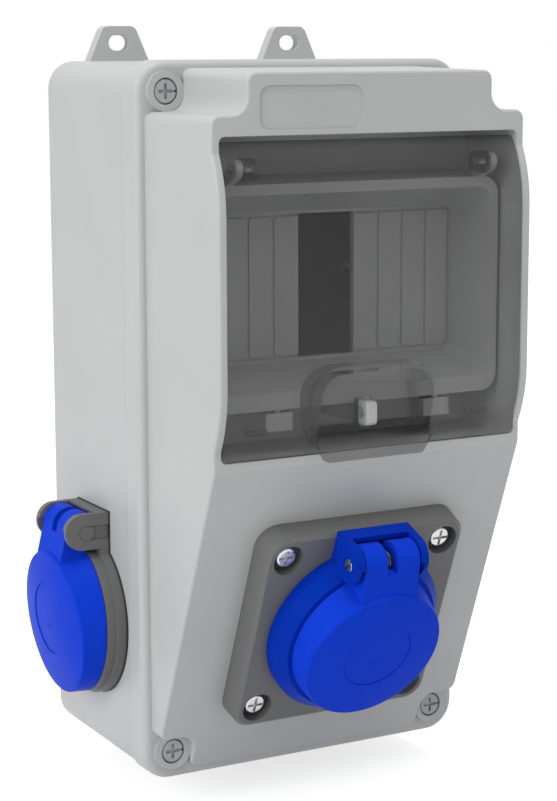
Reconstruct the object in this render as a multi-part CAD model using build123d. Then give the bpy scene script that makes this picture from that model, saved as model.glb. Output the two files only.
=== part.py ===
"""Wall-mounted socket box: a two-shell moulded case with a module window under a smoked flap, a sloping
front that carries a square-flanged earthed socket, and a round earthed socket in the left side.

Row frame: millimetres, +X right, +Z up, the wall is the plane Y = 0 and the box stands out towards -Y.
The origin is the centre of the four fixing lugs' holes, in the wall plane.
"Depth" below means the distance from the wall, so a point at depth d lies at Y = -d.
Each socket has a frame of its own: u across, v up and w out of the face that it stands on.
"""
from build123d import *
from collections import namedtuple
from math import asin, atan2, cos, radians, sin, sqrt, tan
import os

os.makedirs("parts", exist_ok=True)

# How far a cut runs past the face that it opens, a length beyond the whole box, and how near counts as on
past = 1.0
far = 150.0
snap = 0.01

# Case outline, seen from the front
case_half_w = 60.2
case_half_h = 116.2
case_corner_r = 10.0
wall = 2.5
base_step = 0.7
base_draft = 1.2
base_back_r = 1.0

# Depths from the wall, and depths behind or before the flat front
seam_depth = 62.4
rim_t = 10.0
front_rise = 42.5
cheek_bulge = 4.5
rim_round = 2.4

# Raised body of the cover
body_step = 3.1
body_draft = 0.9
body_top_step = 2.5
body_foot_step = 2.8
notch_w = 13.2
notch_top_h = 13.4
notch_foot_h = 12.6
notch_r = 5.5
body_corner_r = 3.0
body_least_r = 0.6
body_sunk = 4.0
front_edge_r = 0.9
front_edge_slant = 0.6
side_edge_slant = 0.3
slope_top = -6.9
slope_foot_rise = 1.0

# Window pocket and the cheeks beside it
pocket_half_w = 53.5
pocket_top = 94.0
pocket_bottom = -4.0
pocket_corner_r = 2.0
pocket_deep = 29.0
pocket_floor_t = 2.3
cheek_r = 43.0
cheek_low = 19.0
cheek_high = 70.0

# Plaque recess above the window
plaque_w = 35.8
plaque_h = 12.9
plaque_x = -21.7
plaque_z = 102.3
plaque_r = 3.4
plaque_deep = 0.5

# Module tray
gap_half_w = 10.3
gap_top = 68.0
gap_bottom = 22.1
module_pitch = 9.1
blanks_a_side = 4
blank_groove_w = 0.7
blank_groove_deep = 0.5
blank_corner_r = 1.7
tray_panel_t = 2.2
tray_panel_step = 0.5
tray_set_back = 7.9
tray_half_w = 52.2
tray_top = 79.1
tray_bottom = 9.6
tray_shelf_rise = 1.6
tray_foot_fall = 0.6
mouth_half_w = 49.1
mouth_top = 75.8
mouth_bottom = 14.9
mouth_r = 4.0
mouth_rim = 2.0
panel_margin = 0.15
panel_edge = 1.0
plug_margin = 0.8
plug_edge = 1.5
plug_set_back = 0.2
fit_gap = 0.3

# Snap tabs under the tray and the sealing eye
tab_x = 29.0
tab_w = 9.5
tab_h = 5.7
tab_t = 3.6
tab_stem_w = 2.0
tab_stem_step = 0.8
tab_gap = 1.0
eye_t = 4.0
eye_low = 3.2
eye_high = 10.9
eye_hole_r = 1.9
eye_hole_back = 3.9
eye_nose_r = 1.6
eye_side_r = 0.6

# Flap over the window
flap_t = 2.0
flap_side_gap = 0.35
flap_inset = 0.5
flap_top = 92.4
flap_bottom = -3.7
flap_corner_r = 1.6
flap_foot_rise = 1.0
flap_hinge_back = 4.3
flap_hinge_z = 84.0
scoop_half_w = 20.5
scoop_top = 21.0
scoop_r = 8.0
scoop_floor_low = 4.0
scoop_floor_turn = 3.0
scoop_floor_over = 0.5
scoop_floor_up = 9.0
scoop_lip_z = -2.6
lip_rise = 2.1
lip_half_w = 17.6
lip_splay = 3.5
lip_drop = 2.9
lip_high = 2.6
lip_corner_r = 2.0
hub_r = 3.4
hub_in_x = 40.2
hub_w = 4.2
arm_high = 1.0
arm_inset = 0.4
flap_pin_r = 1.5
flap_pin_end = 0.6
ear_w = 2.2
ear_gap = 0.3
ear_r = 3.0
ear_foot_back = 4.0
ear_lean = 60.0
nib_x = 40.6
nib_z = 4.3
nib_half_w = 3.5
nib_half_h = 0.9
nib_l = 2.8
slot_gap_w = 0.6
slot_gap_h = 0.9
pin_clear = 0.05

# Cover screws, a quarter turn each
screw_in = 10.1
screw_down = 9.6
boss_r = 6.4
boss_rise = 1.1
head_r = 3.8
head_gap = 0.35
head_t = 3.6
head_sunk = 0.2
head_edge_r = 0.5
head_seat_gap = 0.3
cross_l = 4.8
cross_w = 1.0
cross_deep = 0.9
pointer_l = 1.5
pointer_half_w = 0.9
pointer_deep = 1.6
key_shank_r = 2.4
key_gap = 0.2
key_foot_back = 10.4
key_half_w = 3.8
key_t = 3.2
key_h = 3.0
key_plate_t = 5.4
key_play = 0.6
base_boss_r = 7.2

# Seal between the two shells
seal_w = 1.8
seal_h = 2.2
seal_inset = 1.3
seal_ease = 0.05
seam_wall = 4.6
seam_band = 3.2

# Fixing lugs
lug_x = 33.3
lug_hole_rise = 5.4
lug_tip_rise = 5.65
lug_t = 4.5
lug_root_half_w = 11.9
lug_tip_half_w = 5.8
lug_root_deep = 2.0
lug_corner_r = 3.0
lug_slot_l = 8.2
lug_slot_r = 2.6

# Mounting rail for the modules
rail_z = 45.0
rail_front_depth = 40.4
rail_h = 35.0
rail_web_h = 27.0
rail_deep = 7.5
rail_t = 1.0
rail_half_l = 50.0
rail_post_x = 42.0
rail_post_r = 5.0
rail_rest_gap = 0.02
rail_slot_l = 8.5
rail_slot_play = 0.25
rail_screw_r = 1.9
rail_screw_l = 12.0
rail_screw_room = 14.0
rail_screw_play = 0.1
rail_screw_gap = 0.05
rail_screw_head_r = 3.7
rail_screw_head_t = 2.4
rail_screw_head_edge = 1.0
rail_screw_cross_l = 4.4
rail_screw_cross_w = 0.8
rail_screw_cross_deep = 1.1

# Cable entries in the bottom, closed by a thin web
entry_r = 12.5
entry_x = 26.0
entry_depth = 34.0
entry_score = 1.2
entry_score_deep = 0.7

# Sockets: sizes that both have
well_r = 19.6
well_deep = 17.5
lip_r = 22.0
rib_w = 2.2
rib_l = 4.8
rib_in = 2.0
rib_step = 1.0
carrier_l = 20.0
carrier_gap = 0.1
carrier_edge = 0.4
hinge_rise = 30.7
knuckle_r = 6.2
knuckle_half_w = 9.9
knuckle_gap = 0.4
ear_in = 10.4
ear_thin = 11.6
ear_out = 12.9
ear_up = 0.4
ear_root_t = 3.0
ear_step_up = 1.5
hood_low = 3.4
groove_half_w = 1.9
groove_back = 1.0
pin_hole_r = 2.6
pin_hole_l = 4.0
pin_hole_flare = 0.8
pin_pitch = 19.0
contact_r = 3.6
contact_bore_r = 2.35
contact_l = 14.0
contact_back = 2.1
contact_tail = 6.0
contact_slit_w = 0.8
contact_slit_l = 8.9
clamp_r = 1.4
clamp_back = 3.2
contact_play = 0.1
strap_half_w = 4.0
strap_t = 1.0
strap_v = 17.3
strap_reach = 13.0
strap_tip_r = 2.4
strap_slot_t = 1.6
strap_slot_play = 0.2
strap_gap = 0.05
carrier_screw_r = 1.55
carrier_screw_tail = 1.8
carrier_screw_hole_r = 1.7
carrier_screw_head_r = 2.9
carrier_screw_head_t = 2.1
carrier_screw_head_edge = 0.6
carrier_screw_sunk = 0.8
carrier_screw_room_r = 3.2
carrier_screw_room_deep = 3.0
carrier_cross_l = 4.0
carrier_cross_w = 0.8
carrier_cross_deep = 0.9
spring_wire_r = 0.4
spring_ease = 0.3
spring_end_gap = 0.25
spring_turns = 3

# Lids, the same on both sockets. Heights are from the lid's back rim
lid_rim_r = 25.4
lid_face_r = 24.0
lid_face_drop = 1.25
lid_face_rise = 8.25
lid_face_angle = 5.3
lid_dome_h = 2.3
lid_edge_r = 0.8
lid_skin = 2.2
lid_room_r = 22.9
lid_core_r = 18.0
lid_ceiling = 4.0
lid_seat_gap = 0.2
lid_pin_rise = 1.1
lid_seal_t = 2.3
lid_seal_in = 18.6
lid_seal_play = 0.15
lid_seal_lift = 0.02
lip_gap = 0.1
neck_root = 18.0
neck_root_rise = 10.3
mark_r = 12.0
mark_up = 1.6
mark_deep = 0.3
hinge_pin_short = 0.1
hinge_pin_edge = 0.3
hinge_pin_slot_w = 0.7
hinge_pin_slot_deep = 1.0
hinge_pin_slot_angle = 28.0

# Front socket on the slope
front_socket_down = 57.8
flange_half = 36.8
flange_t = 8.5
flange_r = 7.5
flange_draft = 0.6
flange_edge = 1.3
flange_wall = 3.0
flange_screw = 28.5
flange_screw_r = 1.9
flange_screw_tail = 0.5
flange_screw_play = 0.3
flange_thread_play = 0.1
flange_head_r = 3.8
flange_head_top = 7.1
flange_head_t = 2.9
flange_head_edge = 1.2
flange_cross_l = 5.4
flange_cross_w = 0.9
flange_cross_deep = 1.1
flange_recess_r = 5.2
flange_recess_floor = 4.1
flange_seal_t = 0.8
flange_seal_play = 0.2
flange_seal_low = 0.05
flange_seal_bore = 1.0
flange_boss_r = 4.2
flange_boss_l = 7.5
front_rim = 16.7
front_pin_r = 2.25
front_ear_r = 6.4
front_ear_ahead = 0.0
front_hood_t = 5.0
front_collar_r = 30.2
front_collar_top_r = 26.8
front_collar_side = 3.8
front_tube_r = 24.6
front_tube_gap = 0.4

# Side socket on the left wall
side_socket_z = -68.0
side_rim = 7.05
side_pin_r = 2.6
side_ear_r = 6.0
side_ear_ahead = 1.6
side_hood_t = 4.0
side_channel_half_w = 2.3
side_channel_deep = 0.6
side_collar_r = 26.5
side_collar_low = 3.5
side_collar_top_r = 25.4
side_seal_t = 0.5
side_seal_out = 0.3
side_seal_play = 0.2
side_seal_gap = 0.02
side_tube_r = 21.4
side_hole_gap = 0.3
ring_nut_r = 25.0
ring_nut_t = 5.0
ring_nut_gap = 0.15
ring_nut_play = 0.08
ring_nut_room = 0.4
ring_nut_slots = 8
ring_nut_slot_w = 5.0
ring_nut_slot_deep = 2.2
ring_nut_slot_l = 3.35

# Worked-out values
body_half_w = case_half_w - body_step
body_top = case_half_h - body_top_step
body_bottom = body_foot_step - case_half_h
notch_x = body_half_w - notch_w
notch_top = body_top - notch_top_h
notch_bottom = body_bottom + notch_foot_h
slope_foot = slope_foot_rise - case_half_h
screw_x = case_half_w - screw_in
screw_z = case_half_h - screw_down
lug_hole_z = case_half_h + lug_hole_rise
lug_tip_z = lug_hole_z + lug_tip_rise
rim_depth = seam_depth + rim_t
front_depth = rim_depth + front_rise
cheek_depth = front_depth + cheek_bulge
pocket_floor_depth = front_depth - pocket_deep
tray_front_depth = front_depth - tray_set_back
tray_panel_depth = pocket_floor_depth + tray_panel_step
flap_foot_depth = front_depth + flap_foot_rise
flap_hinge_depth = front_depth - flap_hinge_back
lip_depth = front_depth + lip_rise
key_foot_depth = seam_depth - key_foot_back
head_top_depth = rim_depth + boss_rise
panel_half_w = gap_half_w + blanks_a_side * module_pitch + blank_groove_w / 2 + panel_margin
plug_half_w = panel_half_w + plug_margin
slope_angle = atan2(front_rise, slope_top - slope_foot)
slope_out = Vector(0, -cos(slope_angle), -sin(slope_angle))
slope_up = Vector(0, -sin(slope_angle), cos(slope_angle))
slope_head = Vector(0, -front_depth, slope_top)
front_origin = slope_head - slope_up * front_socket_down
front_frame = Plane(origin=front_origin, x_dir=(1, 0, 0), z_dir=slope_out)
base_half_w = case_half_w - base_step
base_half_h = case_half_h - base_step
side_socket_depth = seam_depth - seam_band - ring_nut_r - ring_nut_room
side_wall_x = base_half_w - base_draft * (1 - side_socket_depth / seam_depth)
side_lean = atan2(base_draft, seam_depth)
side_frame = Plane(origin=(-side_wall_x, -side_socket_depth, side_socket_z),
                   x_dir=(-sin(side_lean), -cos(side_lean), 0), z_dir=(-cos(side_lean), sin(side_lean), 0))
lip_rise_over_rim = lid_ceiling - lid_seal_t - lip_gap
dome_ball_r = (lid_face_r ** 2 + lid_dome_h ** 2) / (2 * lid_dome_h)

# What differs between the two sockets. Heights are in the socket's own frame
Socket = namedtuple("Socket", "frame rim foot pin_r ear_r ear_ahead hood_t slotted")
front_kind = Socket(front_frame, front_rim, flange_t, front_pin_r, front_ear_r, front_ear_ahead,
                    front_hood_t, True)
side_kind = Socket(side_frame, side_rim, side_seal_t, side_pin_r, side_ear_r, side_ear_ahead,
                   side_hood_t, False)


def write(shape, name):
    """One STEP file for each sub-part."""
    shape.label = name
    export_step(shape, f"parts/{name}.step")


def slab(sketch, start, end):
    """A sketch drawn as seen from the front, filled between two depths."""
    return extrude(Plane.XZ.offset(start) * sketch, amount=end - start)


def box_between(x0, x1, d0, d1, z0, z1):
    """A block between two sides, two depths and two heights."""
    centre = ((x0 + x1) / 2, -(d0 + d1) / 2, (z0 + z1) / 2)
    return Pos(*centre) * Box(x1 - x0, d1 - d0, z1 - z0)


def rod(x, z, r, d0, d1):
    """A round bar along the depth."""
    return slab(Pos(x, z) * Circle(r), d0, d1)


def cross_bar(r, x0, x1, depth, z):
    """A round bar along the width."""
    return Pos((x0 + x1) / 2, -depth, z) * Rot(0, 90, 0) * Cylinder(r, x1 - x0)


def side_profile(face, half_w):
    """A face drawn in depth and height, filled across the width."""
    return extrude(Plane.YZ * face, amount=half_w, both=True)


def cross_slot(x, z, length, width, d0, d1):
    """A cross-shaped recess for a screwdriver, along the depth."""
    return slab(Pos(x, z) * (Rectangle(length, width) + Rectangle(width, length)), d0, d1)


def local_block(u0, u1, v0, v1, w0, w1):
    """A block in a socket's own frame."""
    return Pos((u0 + u1) / 2, (v0 + v1) / 2, (w0 + w1) / 2) * Box(u1 - u0, v1 - v0, w1 - w0)


def local_rod(r, w0, w1, u=0.0, v=0.0):
    """A round bar along a socket's axis."""
    return Pos(u, v, (w0 + w1) / 2) * Cylinder(r, w1 - w0)


def local_pin(r, u0, u1, v, w):
    """A round bar across a socket."""
    return Pos((u0 + u1) / 2, v, w) * Rot(0, 90, 0) * Cylinder(r, u1 - u0)


def local_cross(u, v, length, width, w0, w1):
    """A cross-shaped recess along a socket's axis."""
    plan = Pos(u, v) * (Rectangle(length, width) + Rectangle(width, length))
    return extrude(Plane.XY.offset(w0) * plan, amount=w1 - w0)


def turned(points):
    """A solid of revolution about a socket's axis from points of radius and height."""
    profile = make_face(Polyline(*[(r, w) for r, w in points], close=True))
    return revolve(Plane.XZ * profile, Axis.Z)


def ring_between(r_in, r_out, w0, w1):
    """A flat ring about a socket's axis."""
    return turned([(r_in, w0), (r_out, w0), (r_out, w1), (r_in, w1)])


def body_plan(half_w, top, bottom, inset):
    """The raised body as seen from the front, with a notch for the screw in each corner."""
    nx = notch_x - inset
    high = notch_top - inset
    low = notch_bottom + inset
    points = [
        (-half_w, low), (-nx, low), (-nx, bottom), (nx, bottom), (nx, low), (half_w, low),
        (half_w, high), (nx, high), (nx, top), (-nx, top), (-nx, high), (-half_w, high),
    ]
    plan = make_face(Polyline(*points, close=True))
    inner = [p for p in plan.vertices() if abs(abs(p.X) - nx) < snap and low - snap < p.Y < high + snap]
    plan = fillet(inner, notch_r + inset)
    side = [p for p in plan.vertices() if abs(abs(p.X) - half_w) < snap]
    end = [p for p in plan.vertices() if p.Y > top - snap or p.Y < bottom + snap]
    return fillet(side + end, max(body_corner_r - inset, body_least_r))


def plan_at(depth, inset):
    """The raised body's plan at a depth, with the draft taken off."""
    drawn_in = body_draft * (depth - rim_depth) / front_rise
    half_w = body_half_w - inset - drawn_in
    return body_plan(half_w, body_top - inset - drawn_in, body_bottom + inset + drawn_in, inset)


def front_outline(inset, bulge):
    """The cover's side view: rim, slope, flat front, bulging cheeks and flat front again."""
    slope_shift = inset / cos(slope_angle)
    rate = tan(slope_angle)
    flat = front_depth - inset
    knee = slope_top + (slope_shift - inset) / rate
    back = rim_depth - 2 * rim_t
    foot = slope_foot - (rim_depth - back - slope_shift) / rate
    top = case_half_h
    lines = [Line((-back, top), (-back, foot)), Line((-back, foot), (-flat, knee))]
    if bulge:
        radius = cheek_r - inset
        rise = sqrt(radius ** 2 - (radius - cheek_bulge) ** 2)
        face = flat + cheek_bulge
        angle = atan2(rise, radius - cheek_bulge) / 2
        low_mid = (-(face - radius + radius * cos(angle)), cheek_low - radius * sin(angle))
        high_mid = (low_mid[0], cheek_high + radius * sin(angle))
        lines += [
            Line((-flat, knee), (-flat, cheek_low - rise)),
            ThreePointArc((-flat, cheek_low - rise), low_mid, (-face, cheek_low)),
            Line((-face, cheek_low), (-face, cheek_high)),
            ThreePointArc((-face, cheek_high), high_mid, (-flat, cheek_high + rise)),
            Line((-flat, cheek_high + rise), (-flat, top)),
        ]
    else:
        lines += [Line((-flat, knee), (-flat, top))]
    lines += [Line((-flat, top), (-back, top))]
    return make_face(Curve() + lines)


def raised_body(inset, bulge):
    """The cover's raised body, or its hollow when inset by the wall."""
    start = rim_depth - body_sunk * bool(inset)
    end = cheek_depth + past
    plans = [Plane.XZ.offset(depth) * plan_at(depth, inset) for depth in (start, end)]
    block = loft(plans, ruled=True)
    return block & side_profile(front_outline(inset, bulge), case_half_w)


def soft_front(body):
    """The raised body with its front edges rounded, where the front turns into the sides."""
    edges = []
    for edge in body.edges():
        slants = sorted(face.normal_at(edge @ 0.5).Y for face in body.faces() if edge in face.edges())
        if len(slants) == 2 and slants[0] < -front_edge_slant and abs(slants[1]) < side_edge_slant:
            edges.append(edge)
    return fillet(edges, front_edge_r)


def corners():
    """The four screw places, as signs."""
    return [(sx, sz) for sx in (-1, 1) for sz in (1, -1)]


def key_way(x, z, d0, d1):
    """The space that a cover screw's cross key passes through."""
    plan = Rectangle(2 * (key_half_w + key_gap) + key_gap, key_t + key_play)
    return slab(Pos(x, z) * plan, d0, d1)


def base_outline(depth, inset):
    """The base's rounded outline at a depth."""
    half_w = base_half_w - base_draft * (1 - depth / seam_depth) - inset
    half_h = base_half_h - inset
    return RectangleRounded(2 * half_w, 2 * half_h, max(case_corner_r - base_step - inset, base_back_r))


def lug(side, end):
    """One fixing lug with its slotted hole, at the top or the bottom of the base."""
    root = base_half_h - lug_root_deep
    points = [
        (-lug_root_half_w, root), (lug_root_half_w, root),
        (lug_tip_half_w, lug_tip_z), (-lug_tip_half_w, lug_tip_z),
    ]
    face = make_face(Polyline(*points, close=True))
    face = fillet([p for p in face.vertices() if p.Y > lug_hole_z], lug_corner_r)
    face -= Pos(0, lug_hole_z) * SlotOverall(lug_slot_l, 2 * lug_slot_r)
    solid = slab(Pos(side * lug_x, 0) * face, 0, lug_t)
    return solid if end > 0 else mirror(solid, Plane.XY)


def make_base():
    """Rear shell: tub, lugs, screw bosses, rail posts, seal groove, socket hole and cable entries."""
    outer = loft([Plane.XZ * base_outline(0, 0), Plane.XZ.offset(seam_depth) * base_outline(seam_depth, 0)])
    outer = fillet(outer.faces().sort_by(Axis.Y)[-1].edges(), base_back_r)
    hollow_top = seam_depth - seam_band
    hollow = loft([Plane.XZ.offset(wall) * base_outline(wall, wall),
                   Plane.XZ.offset(hollow_top) * base_outline(hollow_top, wall)])
    hollow += slab(base_outline(seam_depth, seam_wall), hollow_top - past, seam_depth + past)
    shell = outer - hollow
    roof = seam_depth - key_plate_t
    for sx, sz in corners():
        x = sx * screw_x
        z = sz * screw_z
        shell += rod(x, z, base_boss_r, wall / 2, seam_depth) & outer
        shell -= rod(x, z, key_shank_r + key_gap, key_foot_depth, seam_depth + past)
        shell -= rod(x, z, key_half_w + key_play, key_foot_depth - 2 * past, roof)
        shell -= key_way(x, z, roof - past, seam_depth + past)
        shell += lug(sx, sz)
    web_depth = rail_front_depth - rail_deep
    for side in (-1, 1):
        x = side * rail_post_x
        shell += rod(x, rail_z, rail_post_r, wall / 2, web_depth)
        shell -= rod(x, rail_z, rail_screw_r + rail_screw_play, web_depth - rail_screw_room, web_depth + past)
        ring = Cylinder(entry_r, 2 * entry_score_deep) - Cylinder(entry_r - entry_score, 4 * entry_score_deep)
        shell -= Pos(side * entry_x, -entry_depth, -base_half_h) * ring
    groove = base_outline(seam_depth, seal_inset) - base_outline(seam_depth, seal_inset + seal_w)
    shell -= slab(groove, seam_depth - seal_h, seam_depth + past)
    hole = side_frame.location * Cylinder(side_tube_r + side_hole_gap, 4 * wall)
    return shell - hole


def make_cover_seal():
    """Rubber cord ring in the base's groove, flush with the seam."""
    ring = base_outline(seam_depth, seal_inset + seal_ease)
    ring -= base_outline(seam_depth, seal_inset + seal_w - seal_ease)
    return slab(ring, seam_depth - seal_h + seal_ease / 2, seam_depth)


def flange_places():
    """The four screw centres of the flange."""
    return [(su * flange_screw, sv * flange_screw) for su in (-1, 1) for sv in (-1, 1)]


def make_cover():
    """Front shell: rim, raised body, cheeks, window pocket, screw bosses and the slope's socket hole."""
    rim = slab(RectangleRounded(2 * case_half_w, 2 * case_half_h, case_corner_r), seam_depth, rim_depth)
    rim = fillet(rim.faces().sort_by(Axis.Y)[0].edges(), rim_round)
    outer = rim + soft_front(raised_body(0, True))
    step_depth = seam_depth + seam_band
    band_r = case_corner_r - seam_wall
    band = RectangleRounded(2 * (base_half_w - seam_wall), 2 * (base_half_h - seam_wall), band_r)
    lower = RectangleRounded(2 * (case_half_w - wall), 2 * (case_half_h - wall), case_corner_r - wall)
    hollow = slab(band, seam_depth - past, step_depth) + slab(lower, step_depth, rim_depth - wall)
    hollow += raised_body(wall, False)
    hollow -= box_between(-body_half_w, body_half_w, pocket_floor_depth - pocket_floor_t, cheek_depth + past,
                          pocket_bottom - wall, pocket_top + wall)
    for sx, sz in corners():
        hollow -= rod(sx * screw_x, sz * screw_z, boss_r, seam_depth - past, rim_depth)
    cover = outer - hollow
    pocket = RectangleRounded(2 * pocket_half_w, pocket_top - pocket_bottom, pocket_corner_r)
    cover -= slab(Pos(0, (pocket_top + pocket_bottom) / 2) * pocket, pocket_floor_depth, cheek_depth + past)
    cover -= box_between(-plug_half_w, plug_half_w, pocket_floor_depth - 2 * pocket_floor_t,
                         pocket_floor_depth + past, gap_bottom - plug_edge, gap_top + plug_edge)
    for sx, sz in corners():
        x = sx * screw_x
        z = sz * screw_z
        cover += rod(x, z, boss_r, seam_depth, head_top_depth)
        cover -= rod(x, z, head_r + head_gap, head_top_depth - head_t - head_seat_gap, far)
        cover -= key_way(x, z, seam_depth - past, rim_depth)
        cover -= rod(x, z, key_shank_r + key_gap, seam_depth - past, rim_depth)
    plaque = Pos(plaque_x, plaque_z) * RectangleRounded(plaque_w, plaque_h, plaque_r)
    cover -= slab(plaque, front_depth - plaque_deep, front_depth + past)
    boss_foot = -wall - flange_boss_l
    for u, v in flange_places():
        boss = local_rod(flange_boss_r, boss_foot, -wall / 2, u, v)
        cover += front_frame.location * boss
        hole = local_rod(flange_screw_r + flange_thread_play, boss_foot + wall / 2, past, u, v)
        cover -= front_frame.location * hole
    return cover - front_frame.location * local_rod(front_tube_r + front_tube_gap, -3 * wall, 2 * wall)


def flap_ear(side):
    """A bearing plate on the tray's top shelf, beside the flap's hub."""
    x0 = hub_in_x + hub_w + ear_gap
    foot_depth = tray_front_depth - ear_foot_back
    lean = radians(ear_lean)
    points = [
        (-foot_depth, tray_top - past), (-tray_front_depth, tray_top - past), (-tray_front_depth, tray_top),
        (-(flap_hinge_depth + ear_r * cos(lean)), flap_hinge_z - ear_r * sin(lean)),
        (-(flap_hinge_depth - ear_r * sin(lean)), flap_hinge_z + ear_r * cos(lean)),
        (-foot_depth, tray_top + past),
    ]
    plate = extrude(Plane.YZ.offset(x0) * make_face(Polyline(*points, close=True)), amount=ear_w)
    plate += cross_bar(ear_r, x0, x0 + ear_w, flap_hinge_depth, flap_hinge_z)
    plate -= cross_bar(flap_pin_r + pin_clear, x0 - past, x0 + ear_w + past, flap_hinge_depth, flap_hinge_z)
    return plate if side > 0 else mirror(plate, Plane.YZ)


def rounded_section(depth, half_w, top, bottom, radius):
    """A rounded rectangle at a depth."""
    section = Pos(0, (top + bottom) / 2) * RectangleRounded(2 * half_w, top - bottom, radius)
    return Plane.XZ.offset(depth) * section


def blank_grooves(side):
    """The scored lines round one side's knock-out blanks."""
    mid = (gap_top + gap_bottom) / 2
    high = gap_top - gap_bottom
    half = blank_groove_w / 2
    field_w = blanks_a_side * module_pitch + half
    field = Pos(side * (gap_half_w + field_w / 2), mid) * Rectangle(field_w, high)
    for i in range(blanks_a_side):
        near = gap_half_w + i * module_pitch + (half if i else -past)
        end = gap_half_w + (i + 1) * module_pitch - half
        blank = RectangleRounded(end - near, high - 2 * blank_groove_w, blank_corner_r)
        field -= Pos(side * (near + end) / 2, mid) * blank
    return field


def make_tray():
    """Module tray: border, funnel, panel with knock-out blanks and the module gap, tabs and sealing eye."""
    border = loft([
        rounded_section(pocket_floor_depth, tray_half_w, tray_top + tray_shelf_rise, tray_bottom - tray_foot_fall,
                        mouth_r + mouth_rim),
        rounded_section(tray_front_depth, tray_half_w, tray_top, tray_bottom, mouth_r + mouth_rim),
    ], ruled=True)
    funnel_l = tray_front_depth - tray_panel_depth
    panel_top = gap_top + panel_edge
    panel_bottom = gap_bottom - panel_edge
    more = past / funnel_l
    mouth = loft([
        rounded_section(tray_panel_depth, panel_half_w, panel_top, panel_bottom, mouth_r),
        rounded_section(tray_front_depth + past, mouth_half_w + (mouth_half_w - panel_half_w) * more,
                        mouth_top + (mouth_top - panel_top) * more,
                        mouth_bottom - (panel_bottom - mouth_bottom) * more, mouth_r),
    ], ruled=True)
    tray = border - mouth
    tray += box_between(-plug_half_w + fit_gap, plug_half_w - fit_gap,
                        tray_panel_depth - tray_panel_t, tray_panel_depth - plug_set_back,
                        gap_bottom - plug_edge + fit_gap, gap_top + plug_edge - fit_gap)
    tray -= box_between(-gap_half_w, gap_half_w, tray_panel_depth - 2 * tray_panel_t, tray_panel_depth + past,
                        gap_bottom, gap_top)
    tab_top = tray_bottom - tab_gap
    for side in (-1, 1):
        tray -= slab(blank_grooves(side), tray_panel_depth - blank_groove_deep, tray_panel_depth + past)
        tray += flap_ear(side)
        x = side * tab_x
        tray += box_between(x - tab_w / 2, x + tab_w / 2, tray_front_depth - tab_t, tray_front_depth,
                            tab_top - tab_h, tab_top)
        tray += box_between(x - tab_stem_w / 2, x + tab_stem_w / 2, tray_front_depth - tab_t,
                            tray_front_depth - tab_stem_step, tab_top - past, tray_bottom + past)
    eye = box_between(-eye_t / 2, eye_t / 2, pocket_floor_depth, front_depth, eye_low, eye_high)
    eye = fillet(eye.edges().filter_by(Axis.X).group_by(Axis.Y)[0], eye_nose_r)
    eye = fillet(eye.faces().sort_by(Axis.Y)[0].edges().filter_by(Axis.Z), eye_side_r)
    eye -= cross_bar(eye_hole_r, -eye_t, eye_t, front_depth - eye_hole_back, (eye_low + eye_high) / 2)
    return tray + eye


def flap_section(inset, low, high):
    """The flap's front curve in side view, closed at the back: a straight foot, an arc, a flat and an arc."""
    face = cheek_depth - inset
    radius = cheek_r - inset
    foot = flap_foot_depth + flap_inset - inset
    low_fall = face - foot
    low_drop = sqrt(radius ** 2 - (radius - low_fall) ** 2)
    high_rise = high - cheek_high
    high_face = face - radius + sqrt(radius ** 2 - high_rise ** 2)
    low_turn = atan2(low_drop, radius - low_fall) / 2
    high_turn = atan2(high_rise, high_face - face + radius) / 2
    low_mid = (-(face - radius + radius * cos(low_turn)), cheek_low - radius * sin(low_turn))
    high_mid = (-(face - radius + radius * cos(high_turn)), cheek_high + radius * sin(high_turn))
    back = pocket_floor_depth
    lines = [
        Line((-back, low), (-foot, low)),
        Line((-foot, low), (-foot, cheek_low - low_drop)),
        ThreePointArc((-foot, cheek_low - low_drop), low_mid, (-face, cheek_low)),
        Line((-face, cheek_low), (-face, cheek_high)),
        ThreePointArc((-face, cheek_high), high_mid, (-high_face, high)),
        Line((-high_face, high), (-back, high)),
        Line((-back, high), (-back, low)),
    ]
    return make_face(Curve() + lines)


def scoop_cut(shift):
    """The finger scoop's space: an arch seen from the front, with a floor that runs out to the lip."""
    half = scoop_half_w + shift
    low = flap_bottom - lip_drop - 2 * flap_t
    top = scoop_top + shift
    arch = Pos(0, (top + low) / 2) * RectangleRounded(2 * half, top - low, scoop_r + shift)
    floor = flap_hinge_depth - shift
    turn = scoop_floor_turn
    out = cheek_depth + 2 * turn
    points = [
        (-out, top + scoop_floor_up), (-(floor + turn / 2), top + scoop_floor_over), (-floor, top - turn),
        (-floor, scoop_floor_low),
        (-(lip_depth - shift), scoop_lip_z), (-(lip_depth - shift), low - past), (-out, low - past),
    ]
    floor_side = side_profile(make_face(Polyline(*points, close=True)), case_half_w)
    return slab(arch, pocket_floor_depth, cheek_depth + turn) & floor_side


def flap_lip():
    """The thumb lip under the scoop, proud of the sheet and lower than its edge."""
    low = flap_bottom - lip_drop
    high = flap_bottom + lip_high
    wide = lip_half_w + lip_splay
    points = [(-wide, high), (-lip_half_w, low), (lip_half_w, low), (wide, high)]
    plan = make_face(Polyline(*points, close=True))
    plan = fillet(plan.vertices().group_by(Axis.Y)[0], lip_corner_r)
    return slab(plan, flap_foot_depth - flap_t, lip_depth)


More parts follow.
